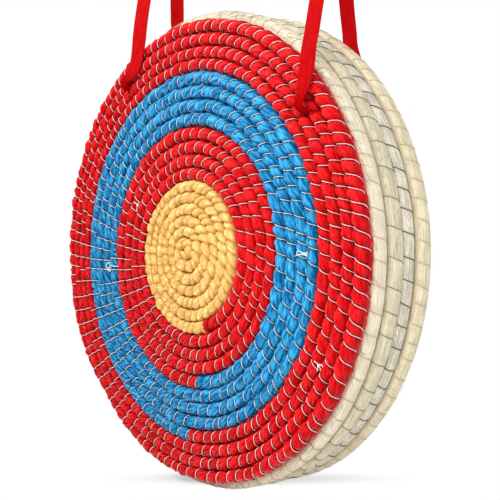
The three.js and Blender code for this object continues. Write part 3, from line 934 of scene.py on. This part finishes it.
# The middle and the span of the finely made part of each rope, and a stitch's sweep, as angles around it
FACE_SHOWN = (QUARTER_TURN, math.radians(260))
RIM_SHOWN = (0.0, math.radians(250))
BACK_SHOWN = (-math.radians(55), math.radians(290))
FACE_SWEEP = (math.radians(196), math.radians(-48))
RIM_SWEEP = (math.radians(100), math.radians(-100))
BACK_SWEEP = (math.radians(60), math.radians(-200))


# Face ropes
def face_rope(node, first, last, form, material):
    rope = Rope(face_coil, first, last, form)
    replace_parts(rope_piece(f"{node}_rope", rope, FACE_STEP, FACE_SHOWN, material), node)
    is_gold = node == "gold_coil"
    thread = gold_thread if is_gold else white_thread
    radius = GOLD_THREAD_RADIUS if is_gold else FACE_THREAD_RADIUS
    thread_piece(f"{node}_stitches", rope, radius, FACE_SWEEP, thread)


gold_first = GOLD_START_TURNS + EYE_TURN_SHARE
inner_red_form, blue_form, outer_red_form = (dict(FACE_FORM, seed=seed) for seed in (31, 41, 51))
face_rope("gold_coil", gold_first, GOLD_END_TURNS, dict(GOLD_FORM, seed=21), gold_rope)
face_rope("inner_red_coil", GOLD_END_TURNS, INNER_RED_END_TURNS, inner_red_form, red_rope)
face_rope("blue_coil", INNER_RED_END_TURNS, BLUE_END_TURNS, blue_form, blue_rope)
face_rope("outer_red_coil", BLUE_END_TURNS, OUTER_RED_END_TURNS, outer_red_form, red_rope)

# Straw ropes: each layer's size beside the largest, where its tail lies, its thread and how its rope differs
STRAW_LAYERS = [
    {
        "share": 0.996, "tail": 150, "thread": pale_thread, "radius": 0.28,
        "form": dict(
            seed=61, fold_tilt=0.3, fold_width=1.8, fold_bare=0.3, fold_depth=0.4, fold_shade=0.6,
            groove_shade=0.1,
        ),
    },
    {"share": 1, "tail": 200, "thread": grey_thread, "radius": 0.3, "form": dict(seed=71, stitch_step=25.0)},
    {
        "share": 0.996, "tail": 160, "thread": dark_thread, "radius": 0.42,
        "form": dict(seed=81, stitch_step=20.0, fold_tilt=0.3, fold_depth=0.8, pinch=0.03, fold_bare=0.2),
    },
    {
        "share": 1.004, "tail": 215, "thread": pale_thread, "radius": 0.3,
        "form": dict(seed=91, stitch_step=19.0),
    },
]


def straw_core(name, coil, material):
    """The turns that the outer one hides, as a disc with the same edge that they have, painted wholly in its
    shade colour.
    """
    turns = coil.last_turn - 1 + np.linspace(0, 1, CORE_STEPS, endpoint=False)
    x, z = coil.place(turns, np.full(CORE_STEPS, CORE_EDGE_SHARE))
    sides = [np.full(CORE_STEPS, coil.y + share * ROPE_HEIGHT) for share in CORE_FACE_SHARES]
    points = np.concatenate([np.stack([x, y, z], -1) for y in sides])
    values = {"rope_place": CORE_GRAIN_SHARE * points, "hollow": np.ones(len(points))}
    faces = tube_faces(len(sides), CORE_STEPS)
    return add_mesh(name, points, faces, material, "boss", values, smooth=False)


def straw_layer(index, layer, is_back):
    """The back layer is wound from edge to eye, and the others show only their outer turn over a core."""
    node = f"straw_coil_{index + 2}"
    coil = straw_coil(index + 1, layer["share"], layer["tail"])
    first = coil.first_turn if is_back else coil.last_turn - STRAW_OUTER_TURNS
    rope = Rope(coil, first, coil.last_turn, dict(RIM_FORM, **layer["form"]))
    step, shown, sweep = (BACK_STEP, BACK_SHOWN, BACK_SWEEP) if is_back else (RIM_STEP, RIM_SHOWN, RIM_SWEEP)
    made = rope_piece(f"{node}_rope", rope, step, shown, straw_ropes[index])
    thread_piece(f"{node}_stitches", rope, layer["radius"], sweep, layer["thread"])
    if not is_back:
        straw_core(f"{node}_core", coil, straw_ropes[index])
    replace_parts(made, node)
    return rope


last_layer = len(STRAW_LAYERS) - 1
layer_ropes = [straw_layer(index, layer, index == last_layer) for index, layer in enumerate(STRAW_LAYERS)]


# Through ties: a cord through all the layers, with a knot on the face and one on the back
def cord_piece(name, lines, radii, material):
    return tubes_piece(name, lines, radii, [CORD_GRAIN * np.arange(len(line)) for line in lines], material)


def over_ropes(coil, side, place, flat, lift):
    """Lays a flat line, of steps right and up from a place, over the ropes there, bridging their grooves."""
    turn, start = coil.nearest(*place)
    angle = coil.angle(turn)
    outward = flat[:, 0] * math.cos(angle) + flat[:, 1] * math.sin(angle)
    across = 2 * np.abs((start + outward / coil.pitch(turn) + 0.5) % 1 - 0.5)
    power = FACE_FORM["squareness"]
    height = ROPE_HEIGHT / 2 * (1 - across**power) ** (1 / power)
    height = np.maximum(height, ROPE_HEIGHT / 2 - KNOT_BRIDGE_DEPTH) + lift
    return np.stack([place[0] + flat[:, 0], coil.y + side * height, place[1] + flat[:, 1]], -1)


def knot_core(size):
    angle = np.linspace(0, KNOT_CORE_TURNS * FULL_TURN, KNOT_CORE_STEPS)
    reach = size * (1 + KNOT_CORE_WAVE_SHARE * np.cos(KNOT_CORE_WAVES * angle))
    return np.stack([reach * np.cos(angle), reach * np.sin(angle)], -1)


def knot_loop(heading, length, width):
    angle = np.linspace(0, FULL_TURN, KNOT_LOOP_STEPS)
    along = length / 2 * (1 - np.cos(angle))
    beside = width / 2 * np.sin(angle) * (1 - np.cos(angle)) / KNOT_LOOP_SLIMNESS
    turn = math.radians(heading)
    right = along * math.cos(turn) - beside * math.sin(turn)
    return np.stack([right, along * math.sin(turn) + beside * math.cos(turn)], -1)


def knot_tail(heading, length, bend):
    share = np.linspace(0, 1, KNOT_TAIL_STEPS)
    turn = math.radians(heading) + math.radians(bend) * share
    step = length / (KNOT_TAIL_STEPS - 1)
    return np.stack([np.cumsum(np.cos(turn)) * step, np.cumsum(np.sin(turn)) * step], -1)


# Each knot's loops, as heading, length and width, its loose tails, as heading, length and bend, and how deep
# it is sunk
HIDDEN_KNOT = {"loops": [], "tails": [], "sink": 5.0}
FACE_KNOTS = [
    {"loops": [(172, 8.5, 3.6), (4, 6, 3)], "tails": [(-40, 5, 30), (185, 11.5, 12)], "sink": 0.0},
    {"loops": [], "tails": [(125, 5, 20), (255, 5.5, 0), (-52, 5.5, 15), (30, 7, -70)], "sink": 0.0},
    {"loops": [], "tails": [(135, 6.5, 25), (58, 4, 0), (245, 7, 30), (-30, 6.5, 20)], "sink": 0.0},
    HIDDEN_KNOT,
    HIDDEN_KNOT,
    HIDDEN_KNOT,
]
BACK_KNOT = {"loops": [(20, 7, 4)], "tails": [(150, 7, 30), (250, 8, -30)], "sink": 0.0}


def knot_lines(coil, side, place, knot, spin):
    """A knot's own cords: its core, its loops and its loose tails, each laid over the ropes."""
    flat = [knot_core(KNOT_CORE_RADIUS)]
    flat += [knot_loop(heading + spin, length, width) for heading, length, width in knot["loops"]]
    flat += [knot_tail(heading + spin, length, bend) for heading, length, bend in knot["tails"]]
    lifts = [KNOT_RADIUS - knot["sink"]] + [KNOT_RADIUS] * (len(flat) - 1)
    return [over_ropes(coil, side, place, line, lift) for line, lift in zip(flat, lifts)]


def tie_piece(number, turn, knot):
    place = face_coil.place(turn, OUTER_GROOVE)
    front = knot_lines(face_coil, -1, place, knot, 0)
    back = knot_lines(layer_ropes[-1].coil, 1, place, BACK_KNOT, BACK_KNOT_SPIN * number)
    depths = np.linspace(front[0][:, 1].mean(), back[0][:, 1].mean(), TIE_STEPS)
    through = np.array([[place[0], depth, place[1]] for depth in depths])
    lines = [through, *front, *back]
    radii = [TIE_RADIUS] + [KNOT_RADIUS] * (len(lines) - 1)
    made = cord_piece(f"layer_tie_{number}_cord", lines, radii, tie_cord)
    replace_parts(made, f"layer_tie_{number}")


for index, (turn, knot) in enumerate(zip(TIE_TURNS, FACE_KNOTS)):
    tie_piece(index + 1, turn, knot)

# A thread end that has curled up on the blue rope, as steps right and up from where it leaves its stitch
CURL_PLACE = (-134.0, -20.5)
CURL_LIFT = 1.2
CURL_STEPS = 12
CURL = [
    (0, 0), (-10.9, 0.1), (-17.3, 0.7), (-20, 3.2), (-22.8, 4.1), (-25.9, 2.2), (-26, -0.7), (-23.3, -4.4),
    (-20, -6.3), (-17.5, -4.4), (-18.9, -1.7), (-21.9, -1.9), (-22.2, -4.1), (-20, -4.9),
]


def curl_piece():
    flat = catmull_rom([(right, up, 0) for right, up in CURL], CURL_STEPS)[:, :2]
    line = over_ropes(face_coil, -1, CURL_PLACE, flat, CURL_LIFT)
    cord_piece("curled_thread_end", [line], [KNOT_RADIUS], white_thread)


curl_piece()

# Loose fibres on the straw, and the dark thread that runs along the groove before the fourth layer
FIBRE_SEED = 101
PALE_FIBRES = 260
BROWN_FIBRES = 170
FIBRE_RADIUS = 0.13
FIBRE_LENGTHS = (5.0, 15.0)
FIBRE_LIFTS = (0.2, 1.3)
FIBRE_HEADINGS = (0.6, 0.4)
FIBRE_RINGS = 7
EDGE_SIDES = (math.radians(58), math.radians(88))
SEAM_SIDE = math.radians(57)
SEAM_WANDER = 0.25
SEAM_WANDER_LENGTH = 9
SEAM_STEP = 3.0
SEAM_RADIUS = 0.26


def fibre_lines(rope, count, random):
    """Fibres that leave the rope's front edge and lean outward across it."""
    share = np.linspace(0, 1, FIBRE_RINGS)
    lines = []
    for _ in range(count):
        reach = random.uniform(*FIBRE_LENGTHS)
        heading = random.normal(*FIBRE_HEADINGS)
        along = random.uniform(FIBRE_LENGTHS[1], rope.length - FIBRE_LENGTHS[1])
        side = random.uniform(*EDGE_SIDES)
        lift = random.uniform(*FIBRE_LIFTS) * np.sin(math.pi * share) + FIBRE_RADIUS
        runs = along - reach * math.cos(heading) * share
        sides = side - reach * math.sin(heading) / (ROPE_HEIGHT / 2) * share
        lines.append(rope.skin(runs, sides, lift=lift, folds=False)[0])
    return lines


def seam_line(rope):
    along = np.linspace(0, rope.length, int(rope.length / SEAM_STEP))
    wander = smooth_noise(along / SEAM_WANDER_LENGTH, 0 * along, rope.form["seed"] + 6) - NOISE_MEAN
    return rope.skin(along, SEAM_SIDE + SEAM_WANDER * wander, lift=SEAM_RADIUS / 2, folds=False)[0]


random = np.random.default_rng(FIBRE_SEED)
pale_fibre = thread_material("pale_fibre", colour(240, 230, 208), colour(206, 194, 166))
brown_fibre = thread_material("brown_fibre", colour(132, 112, 84), colour(88, 72, 54))
for name, count, material in (
    ("pale_fibres", PALE_FIBRES, pale_fibre), ("brown_fibres", BROWN_FIBRES, brown_fibre),
):
    cord_piece(name, fibre_lines(layer_ropes[0], count, random), [FIBRE_RADIUS] * count, material)
cord_piece("seam_thread", [seam_line(layer_ropes[2])], [SEAM_RADIUS], dark_thread)

# Floor and light, in metres and watts. The floor's colour is darker in an oval under the boss, a painted
# shadow, and its white glow is weaker there so that its real shadow shows
FLOOR_SIZE = 6.0
SHADE_OVAL = ((CAMERA_RIGHT, 0.02, 0.19), (CAMERA_BACK, -0.014, 0.034))
SHADE_BAND = (0.2, 1.15)
SHADE_GLOW = 0.45
FLOOR_SHADOW_TONES = (0.6, 0.9)
WORLD_LIGHT = 0.26
WHITE = (1, 1, 1, 1)

# Each light's place, what it is aimed at, its size and its power
LIGHTS = {
    "key": ((-0.9, -1.6, 1.6), (0, 0, 0.02), 0.5, 40),
    "front": ((0.8, -1.1, 0.6), (0, 0, 0), 0.8, 12),
    "side": ((1.9, 0.1, 0.7), (0, 0, 0), 1.2, 12),
    "top": ((0.4, -0.3, 2.0), (0, 0, 0), 1.2, 7),
    "back": ((-0.7, 1.8, 0.5), (0, 0, 0), 1.2, 24),
}


def seen_rays(paint):
    """One for the rays that show the background: straight from the camera, in a gloss or through glass."""
    path = paint.add("ShaderNodeLightPath", {}).outputs
    seen = path["Is Camera Ray"]
    for kind in ("Is Glossy Ray", "Is Transmission Ray"):
        seen = paint.maths("MAXIMUM", seen, path[kind])
    return seen


def floor_material():
    paint = Nodes(bpy.data.materials.new("floor"))
    white = paint.add("ShaderNodeEmission", {"Color": WHITE, "Strength": 1.0})
    place = paint.add("ShaderNodeTexCoord", {}).outputs["Object"]
    far = []
    for direction, middle, reach in SHADE_OVAL:
        spot = paint.add("ShaderNodeVectorMath", {0: place, 1: (*direction[:2], 0)}, operation="DOT_PRODUCT")
        share = paint.maths("DIVIDE", paint.maths("SUBTRACT", spot.outputs["Value"], middle), reach)
        far.append(paint.maths("MULTIPLY", share, share))
    distance = paint.maths("SQRT", paint.maths("ADD", *far))
    # Painted shadow: the floor's colour darkens inside the oval
    tone = paint.ramp(distance, SHADE_BAND, *FLOOR_SHADOW_TONES)
    paint.fill(paint.shader, {"Base Color": tone, "Roughness": 0.9})
    share = paint.maths("MULTIPLY", seen_rays(paint),paint.ramp(distance, SHADE_BAND, SHADE_GLOW, 1.0))
    mixed = paint.add("ShaderNodeMixShader", {0: share, 1: paint.shader.outputs[0], 2: white.outputs[0]})
    paint.fill(paint.tree.nodes["Material Output"], {"Surface": mixed.outputs[0]})
    return paint.made


def pale_stage():
    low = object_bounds()[0].z
    mesh = bpy.data.meshes.new("floor")
    corners = [(x * FLOOR_SIZE, y * FLOOR_SIZE, low) for x, y in ((-1, -1), (1, -1), (1, 1), (-1, 1))]
    mesh.from_pydata(corners, [], [(0, 1, 2, 3)])
    mesh.materials.append(floor_material())
    floor = bpy.data.objects.new("floor", mesh)
    bpy.context.scene.collection.objects.link(floor)


def pale_world():
    paint = Nodes(bpy.data.worlds.new("studio"), "Background")
    strength = paint.add("ShaderNodeMapRange", {0: seen_rays(paint), 3: WORLD_LIGHT, 4: 1.0})
    paint.fill(paint.shader, {"Strength": strength.outputs[0], "Color": WHITE})
    bpy.context.scene.world = paint.made


def area_light(name, place, aim, size, power):
    data = bpy.data.lights.new(name, "AREA")
    data.shape = "RECTANGLE"
    data.size = data.size_y = size
    data.energy = power
    lamp = bpy.data.objects.new(name, data)
    bpy.context.scene.collection.objects.link(lamp)
    lamp.location = place
    lamp.rotation_euler = (Vector(aim) - Vector(place)).to_track_quat("-Z", "Y").to_euler()


pale_stage()
pale_world()
for name, light in LIGHTS.items():
    area_light(name, *light)

view = bpy.context.scene.view_settings
view.view_transform = "Standard"
